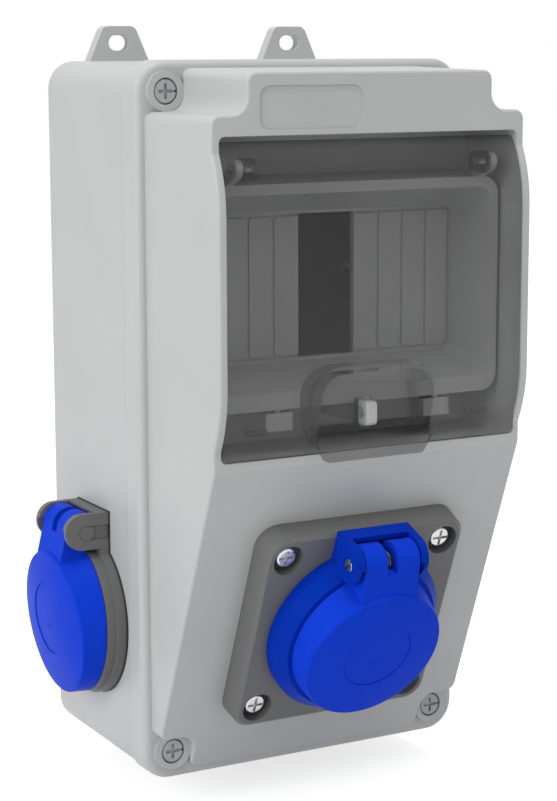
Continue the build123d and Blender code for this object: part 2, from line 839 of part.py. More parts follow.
def make_flap():
    """Smoked flap: curved sheet, finger scoop with a lip and a slot for the eye, hinge arms and hubs."""
    half_w = pocket_half_w - flap_side_gap
    outer = side_profile(flap_section(flap_inset, flap_bottom - past, flap_top + past), half_w + past)
    edge = RectangleRounded(2 * half_w, flap_top - flap_bottom, flap_corner_r)
    edge = Pos(0, (flap_top + flap_bottom) / 2) * edge
    outer &= slab(edge, pocket_floor_depth + past, cheek_depth + past)
    outer += flap_lip()
    outer -= scoop_cut(0)
    room = flap_section(flap_inset + flap_t, flap_bottom - lip_drop - 2 * flap_t, flap_top + flap_t)
    inner = side_profile(room, half_w + past) - scoop_cut(flap_t)
    flap = outer - inner
    flap -= box_between(-half_w, half_w, pocket_floor_depth, front_depth + fit_gap,
                        flap_bottom - 3 * lip_drop, flap_bottom)
    slot_half = eye_t / 2 + slot_gap_w
    flap -= box_between(-slot_half, slot_half, pocket_floor_depth, cheek_depth + past,
                        eye_low - slot_gap_h, eye_high + slot_gap_h)
    back = flap_foot_depth - flap_t
    for side in (-1, 1):
        flap += flap_arm(side)
        flap += box_between(side * nib_x - nib_half_w, side * nib_x + nib_half_w, back - nib_l, back + flap_t / 4,
                            nib_z - nib_half_h, nib_z + nib_half_h)
    return flap


def flap_arm(side):
    """A hinge hub with its web to the sheet."""
    x0 = hub_in_x
    x1 = hub_in_x + hub_w
    arm = cross_bar(hub_r, x0, x1, flap_hinge_depth, flap_hinge_z)
    arm += box_between(x0, x1, flap_hinge_depth, cheek_depth, flap_hinge_z - hub_r, flap_hinge_z + arm_high)
    arm &= side_profile(flap_section(flap_inset + arm_inset, flap_bottom, flap_top), case_half_w)
    arm -= cross_bar(flap_pin_r + pin_clear, x0 - past, x1 + past, flap_hinge_depth, flap_hinge_z)
    return arm if side > 0 else mirror(arm, Plane.YZ)


def make_flap_pins():
    """Two steel pins, each through an ear and a hub."""
    x1 = hub_in_x + hub_w + ear_gap + ear_w
    pin = cross_bar(flap_pin_r, hub_in_x + ear_gap, x1 + flap_pin_end, flap_hinge_depth, flap_hinge_z)
    return Compound(children=[pin, mirror(pin, Plane.YZ)])


def make_cover_screw(sx, sz):
    """A quarter-turn screw: slotted round head with a pointer notch, shank and cross key."""
    x = sx * screw_x
    z = sz * screw_z
    top = head_top_depth - head_sunk
    bottom = head_top_depth - head_t
    head = rod(x, z, head_r, bottom, top)
    head = fillet(head.faces().sort_by(Axis.Y)[0].edges(), head_edge_r)
    head -= cross_slot(x, z, cross_l, cross_w, top - cross_deep, top + past)
    out = head_r + pointer_half_w
    tip = (head_r - pointer_l, 0)
    notch = make_face(Polyline(tip, (out, pointer_half_w), (out, -pointer_half_w), close=True))
    head -= slab(Pos(x, z) * notch, top - pointer_deep, top + past)
    shank = rod(x, z, key_shank_r, key_foot_depth + past, bottom + head_edge_r)
    foot_top = seam_depth - key_plate_t - 2 * key_gap
    key = slab(Pos(x, z) * Rectangle(key_t, 2 * key_half_w), foot_top - key_h, foot_top)
    key &= rod(x, z, key_half_w, key_foot_depth, seam_depth)
    return head + shank + key


def make_rail():
    """Top-hat mounting rail on the base's two posts."""
    front = rail_front_depth
    back = front - rail_deep + rail_rest_gap
    brim = front - rail_t
    half = rail_h / 2
    web = rail_web_h / 2
    points = [
        (-front, half), (-brim, half), (-brim, web + rail_t), (-back, web + rail_t), (-back, -web - rail_t),
        (-brim, -web - rail_t), (-brim, -half), (-front, -half), (-front, -web), (-(back + rail_t), -web),
        (-(back + rail_t), web), (-front, web),
    ]
    rail = side_profile(make_face(Polyline(*[(y, z + rail_z) for y, z in points], close=True)), rail_half_l)
    for side in (-1, 1):
        hole = SlotOverall(rail_slot_l, 2 * (rail_screw_r + rail_slot_play))
        rail -= slab(Pos(side * rail_post_x, rail_z) * hole, back - past, back + 2 * rail_t)
    return rail


def make_rail_screws():
    """Two pan-head screws that hold the rail on its posts."""
    seat = rail_front_depth - rail_deep + rail_t + rail_screw_gap
    top = seat + rail_screw_head_t
    screws = []
    for side in (-1, 1):
        x = side * rail_post_x
        head = rod(x, rail_z, rail_screw_head_r, seat, top)
        head = fillet(head.faces().sort_by(Axis.Y)[0].edges(), rail_screw_head_edge)
        head -= cross_slot(x, rail_z, rail_screw_cross_l, rail_screw_cross_w,
                           top - rail_screw_cross_deep, top + past)
        screws.append(head + rod(x, rail_z, rail_screw_r, seat - rail_screw_l, seat + rail_screw_gap))
    return Compound(children=screws)


def make_flange():
    """Square flange of the front socket with its four deep screw recesses."""
    size = 2 * flange_half
    top_size = size - 2 * flange_draft
    plan = RectangleRounded(size, size, flange_r)
    top_plan = RectangleRounded(top_size, top_size, flange_r - flange_draft)
    plate = loft([plan, Plane.XY.offset(flange_t) * top_plan], ruled=True)
    plate = chamfer(plate.faces().sort_by(Axis.Z)[-1].edges(), flange_edge)
    plate -= local_rod(front_tube_r + flange_screw_play, -past, flange_t + past)
    seat = size - 2 * flange_wall
    plate -= extrude(RectangleRounded(seat, seat, flange_r - flange_wall), amount=flange_seal_t)
    for u, v in flange_places():
        plate -= local_rod(flange_recess_r, flange_recess_floor, flange_t + past, u, v)
        plate -= local_rod(flange_screw_r + flange_screw_play, -past, flange_t, u, v)
    return plate


def make_flange_seal():
    """Flat rubber gasket in the flange's underside."""
    size = 2 * (flange_half - flange_wall - flange_seal_play)
    sheet = RectangleRounded(size, size, flange_r - flange_wall - flange_seal_play)
    sheet = extrude(sheet, amount=flange_seal_t - flange_seal_low)
    sheet -= local_rod(front_tube_r + flange_seal_bore, -past, past)
    for u, v in flange_places():
        sheet -= local_rod(flange_screw_r + flange_seal_bore / 2, -past, past, u, v)
    return sheet


def make_flange_screws():
    """Four cross-slotted screws through the flange into the cover's bosses."""
    top = flange_head_top
    low = top - flange_head_t
    screws = []
    for u, v in flange_places():
        head = local_rod(flange_head_r, low, top, u, v)
        head = fillet(head.faces().sort_by(Axis.Z)[-1].edges(), flange_head_edge)
        head -= local_cross(u, v, flange_cross_l, flange_cross_w, top - flange_cross_deep, top + past)
        shank_end = -wall - flange_boss_l + wall / 2 + flange_screw_tail
        screws.append(head + local_rod(flange_screw_r, shank_end, low + flange_head_t / 4, u, v))
    return Compound(children=screws)


def pin_height(kind):
    """A socket's hinge axis, as a height in its frame."""
    return kind.rim + lid_pin_rise


def well_floor(kind):
    """The bottom of a socket's well, where the contact carrier starts."""
    return kind.rim + lip_rise_over_rim - well_deep


def across_hinge(kind, r, half_u):
    """A round bar on a socket's hinge axis."""
    return local_pin(r, -half_u, half_u, hinge_rise, pin_height(kind))


def hinge_ears(kind):
    """Two round-nosed ears that carry the lid's pin, thinner below, and the hood between them."""
    nose_v = hinge_rise + ear_up
    nose_w = pin_height(kind) + kind.ear_ahead
    foot = kind.foot
    outline = Pos(nose_v, (foot + nose_w) / 2) * Rectangle(2 * kind.ear_r, nose_w - foot)
    outline += Pos(nose_v, nose_w) * Circle(kind.ear_r)
    ears = extrude(Plane.YZ * outline, amount=ear_out, both=True)
    ears -= local_block(-ear_in, ear_in, -far, far, -far, far)
    ears -= local_block(-ear_thin, ear_thin, -far, hinge_rise + ear_step_up, pin_height(kind), far)
    hood = local_block(-ear_thin, ear_thin, hinge_rise + hood_low, nose_v + kind.ear_r, foot, foot + kind.hood_t)
    root = local_block(-ear_out, ear_out, lip_r - past, nose_v - kind.ear_r + past, foot, foot + ear_root_t)
    return ears + root + (hood - across_hinge(kind, knuckle_r + knuckle_gap, ear_in))


def make_socket(kind, below_rim):
    """A socket's body: well with its ribs, lip, collar and tube, hinge ears and hood."""
    seat = kind.rim - lid_seat_gap
    lip_top = kind.rim + lip_rise_over_rim
    floor = well_floor(kind)
    back = floor - carrier_l
    shell = turned([(well_r, lip_top), (lip_r, lip_top), (lip_r, seat)] + below_rim + [(well_r, back)])
    shell += hinge_ears(kind)
    shell -= across_hinge(kind, knuckle_r + knuckle_gap, ear_in)
    shell -= across_hinge(kind, kind.pin_r + pin_clear, ear_out + past)
    for side in (-1, 1):
        rib_u = side * (well_r - rib_in + rib_w / 2)
        rib = local_block(rib_u - rib_w / 2, rib_u + rib_w / 2, -rib_l / 2, rib_l / 2, floor, lip_top - rib_step)
        shell += rib & local_rod(well_r + lip_gap, floor, lip_top)
    return shell


def make_front_socket():
    """Blue socket body: coned collar on the flange, tube through it and the slope."""
    seat = front_rim - lid_seat_gap
    back = well_floor(front_kind) - carrier_l
    below_rim = [(front_collar_top_r, seat), (front_collar_r, flange_t + front_collar_side),
                 (front_collar_r, flange_t), (front_tube_r, flange_t), (front_tube_r, back)]
    return make_socket(front_kind, below_rim)


def make_side_socket():
    """Grey socket body: stepped collar on the wall, a tube for the ring nut and a channel to the pin."""
    seat = side_rim - lid_seat_gap
    back = well_floor(side_kind) - carrier_l
    below_rim = [(side_collar_top_r, seat), (side_collar_top_r, side_collar_low), (side_collar_r, side_collar_low),
                 (side_collar_r, side_seal_t), (side_tube_r, side_seal_t), (side_tube_r, back)]
    channel = local_block(ear_out - side_channel_deep, ear_out + past, hinge_rise - side_channel_half_w,
                          hinge_rise + side_channel_half_w, -past, pin_height(side_kind))
    return make_socket(side_kind, below_rim) - channel


def make_side_seal():
    """Thin black gasket between the side socket's collar and the wall."""
    sheet = local_rod(side_collar_r + side_seal_out, side_seal_gap, side_seal_t)
    half = ear_out + side_seal_out
    top = hinge_rise + ear_up + side_ear_r + side_seal_out
    sheet += local_block(-half, half, 0, top, side_seal_gap, side_seal_t)
    return sheet - local_rod(side_tube_r + side_seal_play, -past, past)


def make_ring_nut():
    """Castellated nut that holds the side socket from inside the wall."""
    top = -wall - ring_nut_gap
    nut = ring_between(side_tube_r + ring_nut_play, ring_nut_r, top - ring_nut_t, top)
    slot = local_block(ring_nut_r - ring_nut_slot_deep, ring_nut_r + past, -ring_nut_slot_w / 2, ring_nut_slot_w / 2,
                       top - ring_nut_t - past, top - ring_nut_t + ring_nut_slot_l)
    for i in range(ring_nut_slots):
        nut -= Rot(0, 0, i * 360 / ring_nut_slots) * slot
    return nut


def make_carrier(kind):
    """Contact carrier at the bottom of the well, with pin holes and slots for the earth strap."""
    floor = well_floor(kind)
    back = floor - carrier_l
    block = local_rod(well_r - carrier_gap, back, floor)
    block = chamfer(block.faces().sort_by(Axis.Z)[-1].edges(), carrier_edge)
    slot_half = strap_half_w + strap_slot_play
    for side in (-1, 1):
        u = side * pin_pitch / 2
        block -= local_rod(pin_hole_r, floor - pin_hole_l, floor + past, u, 0)
        block -= local_rod(contact_r + contact_play, back - past, floor - contact_back + contact_play, u, 0)
        flare = Cone(pin_hole_r, pin_hole_r + pin_hole_flare, pin_hole_flare)
        block -= Pos(u, 0, floor - pin_hole_flare / 2) * flare
        v = side * (strap_v + strap_t / 2)
        block -= local_block(-slot_half, slot_half, v - strap_slot_t / 2, v + strap_slot_t / 2,
                             back - past, floor + past)
    block -= local_rod(carrier_screw_room_r, floor - carrier_screw_room_deep, floor + past)
    return block - local_rod(carrier_screw_hole_r, back - past, floor)


def make_carrier_screw(kind):
    """Screw in the middle of the carrier that clamps the earth strap behind it."""
    floor = well_floor(kind)
    top = floor - carrier_screw_sunk
    head = local_rod(carrier_screw_head_r, top - carrier_screw_head_t, top)
    head = fillet(head.faces().sort_by(Axis.Z)[-1].edges(), carrier_screw_head_edge)
    head -= local_cross(0, 0, carrier_cross_l, carrier_cross_w, top - carrier_cross_deep, top + past)
    end = floor - carrier_l - strap_t - carrier_screw_tail
    return head + local_rod(carrier_screw_r, end, top - carrier_screw_head_t / 2)


def make_contacts(kind):
    """Two brass sleeves with their wire clamps behind the carrier's pin holes."""
    top = well_floor(kind) - contact_back
    back = well_floor(kind) - carrier_l
    parts = []
    for side in (-1, 1):
        u = side * pin_pitch / 2
        sleeve = local_rod(contact_r, back - contact_tail, top, u, 0)
        sleeve -= local_rod(contact_bore_r, top - contact_l, top + past, u, 0)
        sleeve -= local_block(u - contact_slit_w / 2, u + contact_slit_w / 2, -2 * contact_r, 2 * contact_r,
                              top - contact_slit_l, top + past)
        sleeve -= Pos(u, 0, back - clamp_back) * Rot(90, 0, 0) * Cylinder(clamp_r, 4 * contact_r)
        parts.append(sleeve)
    return Compound(children=parts)


def make_earth_strap(kind):
    """Bent brass strap: a blade at the top and the bottom of the well, joined behind the carrier."""
    back = well_floor(kind) - carrier_l - strap_gap
    reach = strap_v + strap_t
    strap = local_block(-strap_half_w, strap_half_w, -reach, reach, back - strap_t, back)
    strap -= local_rod(carrier_screw_hole_r, back - 2 * strap_t, back + past)
    for side in (-1, 1):
        v = side * (strap_v + strap_t / 2)
        blade = local_block(-strap_half_w, strap_half_w, v - strap_t / 2, v + strap_t / 2,
                            back - strap_t, back + carrier_l + strap_reach)
        strap += fillet(blade.edges().filter_by(Axis.Y).group_by(Axis.Z)[-1], strap_tip_r)
    return strap


def face_plane(kind):
    """The plane of a lid's face edge, which leans in towards the foot."""
    angle = radians(lid_face_angle)
    height = kind.rim + lid_face_rise - lid_face_drop * tan(angle)
    return Plane(origin=(0, -lid_face_drop, height), x_dir=(1, 0, 0), z_dir=(0, -sin(angle), cos(angle)))


def domed_plug(r, low, skin):
    """A round plug under the lid's dome, or under its inside when a skin is taken off."""
    ball_r = dome_ball_r - skin
    top = lid_dome_h - skin
    half = asin(r / ball_r) / 2
    edge = top - ball_r * (1 - cos(2 * half))
    mid = (ball_r * sin(half), top - ball_r * (1 - cos(half)))
    lines = [Line((0, low), (r, low)), Line((r, low), (r, edge)), ThreePointArc((r, edge), mid, (0, top)),
             Line((0, top), (0, low))]
    return revolve(Plane.XZ * make_face(Curve() + lines), Axis.Z)


def make_lid(kind):
    """Hinged lid: leaning domed cap with a shallow ring mark, neck and knuckle with the spring's groove."""
    rim = kind.rim
    pin_w = pin_height(kind)
    face = face_plane(kind)
    dome = face.location * domed_plug(lid_face_r, -lid_edge_r, 0)
    cap = loft([Plane.XY.offset(rim) * Circle(lid_rim_r), face * Circle(lid_face_r)], ruled=True)
    cap = soft_lid(cap + dome)
    for side in (-1, 1):
        ends = sorted((side * knuckle_half_w, side * (ear_out + ear_gap)))
        reach = kind.ear_r + kind.ear_ahead + knuckle_gap
        cap -= local_pin(reach, *ends, hinge_rise, pin_w)
    neck = [(neck_root, rim + lid_seat_gap), (neck_root, rim + neck_root_rise),
            (hinge_rise, pin_w + knuckle_r), (hinge_rise, rim + lid_seat_gap)]
    lid = cap + extrude(Plane.YZ * make_face(Polyline(*neck, close=True)), amount=knuckle_half_w, both=True)
    lid += across_hinge(kind, knuckle_r, knuckle_half_w)
    lid -= local_rod(lid_room_r, rim - past, rim + lid_ceiling)
    lid -= face.location * domed_plug(lid_core_r, -lid_face_rise - past, lid_skin)
    low = pin_w - knuckle_r - past
    groove = local_block(-groove_half_w, groove_half_w, hinge_rise - groove_back,
                         hinge_rise + 2 * knuckle_r, low, far)
    groove += local_block(-groove_half_w, groove_half_w, hinge_rise - knuckle_r - past, hinge_rise,
                          low, pin_w + groove_back)
    groove += across_hinge(kind, spring_radius(kind) + spring_wire_r + spring_ease, groove_half_w)
    lid -= groove
    lid -= across_hinge(kind, kind.pin_r + pin_clear, knuckle_half_w + past)
    mark = Pos(0, mark_up, 0) * Cylinder(mark_r, 4 * lid_dome_h) - domed_plug(lid_face_r, -far, mark_deep)
    return lid - face.location * mark


def soft_lid(cap):
    """The cap with its face edge rounded."""
    edges = [e for e in cap.edges() if e.geom_type == GeomType.CIRCLE and abs(e.radius - lid_face_r) < lip_gap]
    return fillet(edges, lid_edge_r)


def make_lid_seal(kind):
    """Rubber ring inside the lid that closes on the socket's lip."""
    top = kind.rim + lid_ceiling - lid_seal_lift
    return ring_between(lid_seal_in, lid_room_r - lid_seal_play, top - lid_seal_t, top)


def make_lid_pin(kind):
    """Hinge pin across the ears; the front one shows a slotted end."""
    half = ear_out - hinge_pin_short
    pin = across_hinge(kind, kind.pin_r, half)
    pin = chamfer(pin.faces().sort_by(Axis.X)[0].edges(), hinge_pin_edge)
    if kind.slotted:
        slot = local_block(-half - past, -half + hinge_pin_slot_deep, -2 * kind.pin_r, 2 * kind.pin_r,
                           -hinge_pin_slot_w / 2, hinge_pin_slot_w / 2)
        pin -= Pos(0, hinge_rise, pin_height(kind)) * Rot(hinge_pin_slot_angle, 0, 0) * slot
    return pin


def spring_radius(kind):
    """The coil's middle radius, clear of the pin."""
    return kind.pin_r + spring_wire_r + spring_ease


def make_spring(kind):
    """Torsion spring's coil round the pin, in the knuckle's groove."""
    height = 2 * (groove_half_w - spring_wire_r - spring_end_gap)
    path = Helix(pitch=height / spring_turns, height=height, radius=spring_radius(kind))
    section = Plane(origin=path @ 0, z_dir=path % 0) * Circle(spring_wire_r)
    coil = Rot(0, 90, 0) * Pos(0, 0, -height / 2) * sweep(section, path=path)
    return Pos(0, hinge_rise, pin_height(kind)) * coil


def place(frame, shape):
    """A socket piece's solids moved from its own frame into the box's."""
    moved = [solid.moved(frame.location) for solid in shape.solids()]
    return moved[0] if len(moved) == 1 else Compound(children=moved)


write(make_base(), "base")
write(make_cover(), "cover")
write(make_cover_seal(), "cover_seal")
write(make_tray(), "module_tray")
write(make_flap(), "window_flap")
write(make_flap_pins(), "flap_pins")
for index, (sx, sz) in enumerate(corners()):
    write(make_cover_screw(sx, sz), f"cover_screw_{index + 1}")
write(make_rail(), "mounting_rail")
write(make_rail_screws(), "rail_screws")
write(place(front_frame, make_flange()), "front_flange")
write(place(front_frame, make_flange_seal()), "front_flange_seal")
write(place(front_frame, make_flange_screws()), "front_flange_screws")
write(place(front_frame, make_front_socket()), "front_socket_body")
write(place(side_frame, make_side_socket()), "side_socket_body")
write(place(side_frame, make_side_seal()), "side_socket_seal")
write(place(side_frame, make_ring_nut()), "side_ring_nut")
for name, kind in (("front", front_kind), ("side", side_kind)):
    write(place(kind.frame, make_carrier(kind)), f"{name}_contact_carrier")
    write(place(kind.frame, make_carrier_screw(kind)), f"{name}_carrier_screw")
    write(place(kind.frame, make_contacts(kind)), f"{name}_contacts")
    write(place(kind.frame, make_earth_strap(kind)), f"{name}_earth_strap")
    write(place(kind.frame, make_lid(kind)), f"{name}_lid")
    write(place(kind.frame, make_lid_seal(kind)), f"{name}_lid_seal")
    write(place(kind.frame, make_lid_pin(kind)), f"{name}_lid_pin")
    write(place(kind.frame, make_spring(kind)), f"{name}_lid_spring")
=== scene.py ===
import math
from collections import namedtuple

import bpy
from mathutils import Matrix, Vector


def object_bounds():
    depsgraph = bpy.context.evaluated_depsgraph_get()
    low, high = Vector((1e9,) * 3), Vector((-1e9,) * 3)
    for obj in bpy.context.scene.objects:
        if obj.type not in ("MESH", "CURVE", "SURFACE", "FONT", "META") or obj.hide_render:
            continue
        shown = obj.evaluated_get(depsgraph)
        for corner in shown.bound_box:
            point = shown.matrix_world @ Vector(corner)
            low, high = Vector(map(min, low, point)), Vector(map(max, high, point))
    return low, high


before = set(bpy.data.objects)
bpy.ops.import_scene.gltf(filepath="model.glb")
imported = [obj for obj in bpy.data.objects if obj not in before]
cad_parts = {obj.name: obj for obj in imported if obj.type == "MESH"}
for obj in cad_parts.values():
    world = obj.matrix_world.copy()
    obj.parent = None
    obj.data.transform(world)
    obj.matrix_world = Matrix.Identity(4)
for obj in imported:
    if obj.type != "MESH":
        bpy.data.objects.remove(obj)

cad_low, cad_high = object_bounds()

# Camera, as the photograph was taken: place in metres, sensor in millimetres
IMAGE_H = 801
FOCAL_PIXELS = 2105.7
SENSOR_HEIGHT = 24.0
CLIP_START = 0.01
CAMERA_PLACE = Vector((-0.3432, -0.6649, 0.1195))
CAMERA_AZIMUTH = math.radians(-29.372)
CAMERA_HEIGHT = math.radians(9.484)
CAMERA_ROLL = math.radians(-0.143)

# Finish colours, linear; the socket blue and the spring steel are darkened as painted shade
SHELL_GREY = (0.500, 0.504, 0.506)
TRAY_GREY = (0.480, 0.484, 0.486)
FLANGE_GREY = (0.142, 0.143, 0.143)
LID_BLUE = (0.005, 0.047, 0.640)
SCREW_GREY = (0.420, 0.424, 0.428)
# Front socket body: the lids' moulded blue, deepened as painted shade on its collar
SOCKET_BLUE_PAINTED_SHADE = (0.001, 0.031, 0.420)
SMOKE = (0.460, 0.460, 0.461)
BRIGHT_STEEL = (0.560, 0.555, 0.545)
# Lid springs: steel darkened as painted shade, for the shade inside the lids' slots
SPRING_STEEL_PAINTED_SHADE = (0.120, 0.120, 0.125)
RAIL_ZINC = (0.560, 0.570, 0.580)
CONTACT_BRASS = (0.740, 0.530, 0.220)
SEAL_BLACK = (0.018, 0.018, 0.019)
CARRIER_BLACK = (0.030, 0.030, 0.032)

# Moulded grain: fine relief, and broad patches of roughness. Scales are per metre, heights in metres
EDGE_SAMPLES = 4
GRAIN_DETAIL = 3.0
GRAIN_ROUGHNESS = 0.6
GRAIN_HEIGHT = 0.00012
PATCH_SCALE = 38.0
PATCH_DETAIL = 3.0
PATCH_LOW = 0.32
PATCH_HIGH = 0.68

# Slow drift of a colour
DRIFT_DETAIL = 4.0
DRIFT_LOW = 0.3
DRIFT_HIGH = 0.7
METAL_PATCH_SCALE = 120.0

# Drawn lines on metal, stretched along X
LINE_STRETCH = (0.08, 1.0, 1.0)
LINE_DETAIL = 2.0
LINE_LOW = 0.35
LINE_HIGH = 0.65
LINE_HEIGHT = 0.00005

# Satin blue moulded plastic, with a shallower relief than the grey
BLUE_FINISH = {
    "drift": 0.04,
    "grain": 1800.0,
    "depth": 0.08,
    "smooth": 0.38,
    "coarse": 0.48,
    "gloss": 0.03,
}

# Smoked flap: a sheet with almost no bend of light under a thin glossy skin
FLAP_IOR = 1.02
FLAP_DRIFT = 0.03
FLAP_SMOOTH = 0.0
FLAP_COARSE = 0.012
FLAP_SKIN = 0.60
FLAP_SKIN_IOR = 1.49
FLAP_SKIN_ROUGHNESS = 0.04
LAMP_TINT_POWER = 0.5

# Studio: lengths in metres, lamps in watts
FLOOR_WHITE = (0.80, 0.80, 0.80)
FLOOR_ROUGHNESS = 0.9
FLOOR_GAP = 0.0005
FLOOR_HALF = 6.0
FLOOR_GLOW = 0.66
SKY_WHITE = (1.0, 1.0, 1.0)
SKY_LIGHT = 0.40
SKY_SEEN = 1.0
LAMP_AIM = Vector((0, -0.06, 0))
Lamp = namedtuple("Lamp", "name place size watts")
LAMPS = [
    Lamp("left_softbox", Vector((-1.7, -0.5, 0.6)), 1.1, 16.0),
    Lamp("front_softbox", Vector((0.4, -1.5, 1.7)), 1.2, 2.4),
    Lamp("top_softbox", Vector((0.0, -0.3, 1.8)), 1.0, 16.0),
]


def camera_turn():
    """The camera's rotation from its compass angle, height angle and roll."""
    back = Vector((math.sin(CAMERA_AZIMUTH) * math.cos(CAMERA_HEIGHT),
                   -math.cos(CAMERA_AZIMUTH) * math.cos(CAMERA_HEIGHT),
                   math.sin(CAMERA_HEIGHT)))
    right = (-back).cross(Vector((0, 0, 1))).normalized()
    up = back.cross(right)
    rolled_right = math.cos(CAMERA_ROLL) * right + math.sin(CAMERA_ROLL) * up
    rolled_up = -math.sin(CAMERA_ROLL) * right + math.cos(CAMERA_ROLL) * up
    return Matrix((rolled_right, rolled_up, back)).transposed()


def make_camera():
    """The camera at the photograph's place and angle."""
    lens = bpy.data.cameras.new("photo_camera")
    lens.sensor_fit = "VERTICAL"
    lens.sensor_height = SENSOR_HEIGHT
    lens.lens = SENSOR_HEIGHT * FOCAL_PIXELS / IMAGE_H
    lens.clip_start = CLIP_START
    camera = bpy.data.objects.new("photo_camera", lens)
    camera.matrix_world = Matrix.Translation(CAMERA_PLACE) @ camera_turn().to_4x4()
    bpy.context.scene.collection.objects.link(camera)
    bpy.context.scene.camera = camera


def new_group(name, inputs, outputs):
    """An empty shader node group with named sockets, and its two end nodes."""
    tree = bpy.data.node_groups.new(name, "ShaderNodeTree")
    for label, kind, value in inputs:
        socket = tree.interface.new_socket(label, in_out="INPUT", socket_type=kind)
        socket.default_value = value
    for label, kind in outputs:
        tree.interface.new_socket(label, in_out="OUTPUT", socket_type=kind)
    return tree, tree.nodes.new("NodeGroupInput"), tree.nodes.new("NodeGroupOutput")


def noise_node(tree, vector, scale, detail, rough=0.5):
    """A 3-D noise texture on the piece's own coordinates."""
    node = tree.nodes.new("ShaderNodeTexNoise")
    node.inputs["Detail"].default_value = detail
    node.inputs["Roughness"].default_value = rough
    tree.links.new(vector, node.inputs["Vector"])
    if isinstance(scale, (int, float)):
        node.inputs["Scale"].default_value = scale
    else:
        tree.links.new(scale, node.inputs["Scale"])
    return node.outputs["Fac"]


def remap(tree, value, low, high, to_low, to_high):
    """A value moved from one range to another, held inside it."""
    node = tree.nodes.new("ShaderNodeMapRange")
    for key, setting in (("From Min", low), ("From Max", high), ("To Min", to_low), ("To Max", to_high)):
        if isinstance(setting, (int, float)):
            node.inputs[key].default_value = setting
        else:
            tree.links.new(setting, node.inputs[key])
    tree.links.new(value, node.inputs["Value"])
    return node.outputs["Result"]


def relief_on_soft_edges(tree, radius, height, strength, distance):
    """A normal with rounded edges, and a fine relief on top of it."""
    edge = tree.nodes.new("ShaderNodeBevel")
    edge.samples = EDGE_SAMPLES
    tree.links.new(radius, edge.inputs["Radius"])
    bump = tree.nodes.new("ShaderNodeBump")
    bump.inputs["Distance"].default_value = distance
    tree.links.new(strength, bump.inputs["Strength"])
    tree.links.new(height, bump.inputs["Height"])
    tree.links.new(edge.outputs["Normal"], bump.inputs["Normal"])
    return bump.outputs["Normal"]


def moulded_grain_group():
    """Fine moulded texture: height and roughness that vary over the surface, on soft edges."""
    tree, given, result = new_group(
        "Moulded grain",
        [("Grain scale", "NodeSocketFloat", 2600.0), ("Depth", "NodeSocketFloat", 0.15),
         ("Smooth roughness", "NodeSocketFloat", 0.40), ("Coarse roughness", "NodeSocketFloat", 0.52),
         ("Edge radius", "NodeSocketFloat", 0.0004)],
        [("Roughness", "NodeSocketFloat"), ("Normal", "NodeSocketVector")])
    place = tree.nodes.new("ShaderNodeTexCoord").outputs["Object"]
    fine = noise_node(tree, place, given.outputs["Grain scale"], GRAIN_DETAIL, GRAIN_ROUGHNESS)
    broad = noise_node(tree, place, PATCH_SCALE, PATCH_DETAIL)
    rough = remap(tree, broad, PATCH_LOW, PATCH_HIGH,
                  given.outputs["Smooth roughness"], given.outputs["Coarse roughness"])
    normal = relief_on_soft_edges(tree, given.outputs["Edge radius"], fine,
                                  given.outputs["Depth"], GRAIN_HEIGHT)
    tree.links.new(rough, result.inputs["Roughness"])
    tree.links.new(normal, result.inputs["Normal"])
    return tree


def tint_drift_group():
    """Slow, slight drift of a colour, as moulded plastic and plating have."""
    tree, given, result = new_group(
        "Tint drift",
        [("Colour", "NodeSocketColor", (0.5, 0.5, 0.5, 1)), ("Drift", "NodeSocketFloat", 0.05),
         ("Patch scale", "NodeSocketFloat", 22.0)],
        [("Colour", "NodeSocketColor")])
    place = tree.nodes.new("ShaderNodeTexCoord").outputs["Object"]
    patch = noise_node(tree, place, given.outputs["Patch scale"], DRIFT_DETAIL)
    centred = remap(tree, patch, DRIFT_LOW, DRIFT_HIGH, -1.0, 1.0)
    swing = tree.nodes.new("ShaderNodeMath")
    swing.operation = "MULTIPLY"
    tree.links.new(centred, swing.inputs[0])
    tree.links.new(given.outputs["Drift"], swing.inputs[1])
    level = tree.nodes.new("ShaderNodeMath")
    level.operation = "ADD"
    level.inputs[1].default_value = 1.0
    tree.links.new(swing.outputs[0], level.inputs[0])
    scale = tree.nodes.new("ShaderNodeVectorMath")
    scale.operation = "SCALE"
    tree.links.new(given.outputs["Colour"], scale.inputs[0])
    tree.links.new(level.outputs[0], scale.inputs["Scale"])
    tree.links.new(scale.outputs["Vector"], result.inputs["Colour"])
    return tree


def brushed_group():
    """Fine drawn lines on plated steel and stamped brass."""
    tree, given, result = new_group(
        "Brushed lines",
        [("Line scale", "NodeSocketFloat", 900.0), ("Depth", "NodeSocketFloat", 0.08),
         ("Bright roughness", "NodeSocketFloat", 0.18), ("Dull roughness", "NodeSocketFloat", 0.34),
         ("Edge radius", "NodeSocketFloat", 0.00015)],
        [("Roughness", "NodeSocketFloat"), ("Normal", "NodeSocketVector")])
    place = tree.nodes.new("ShaderNodeTexCoord").outputs["Object"]
    stretch = tree.nodes.new("ShaderNodeVectorMath")
    stretch.operation = "MULTIPLY"
    stretch.inputs[1].default_value = LINE_STRETCH
    tree.links.new(place, stretch.inputs[0])
    line = noise_node(tree, stretch.outputs["Vector"], given.outputs["Line scale"], LINE_DETAIL)
    rough = remap(tree, line, LINE_LOW, LINE_HIGH,
                  given.outputs["Bright roughness"], given.outputs["Dull roughness"])
    normal = relief_on_soft_edges(tree, given.outputs["Edge radius"], line,
                                  given.outputs["Depth"], LINE_HEIGHT)
    tree.links.new(rough, result.inputs["Roughness"])
    tree.links.new(normal, result.inputs["Normal"])
    return tree


def place_group(tree, group, **values):
    """One use of a group in a material, with its own values.

    A space in a socket's name is an underscore here.
    """
    node = tree.nodes.new("ShaderNodeGroup")
    node.node_tree = group
    for key, value in values.items():
        node.inputs[key.replace("_", " ")].default_value = value
    return node


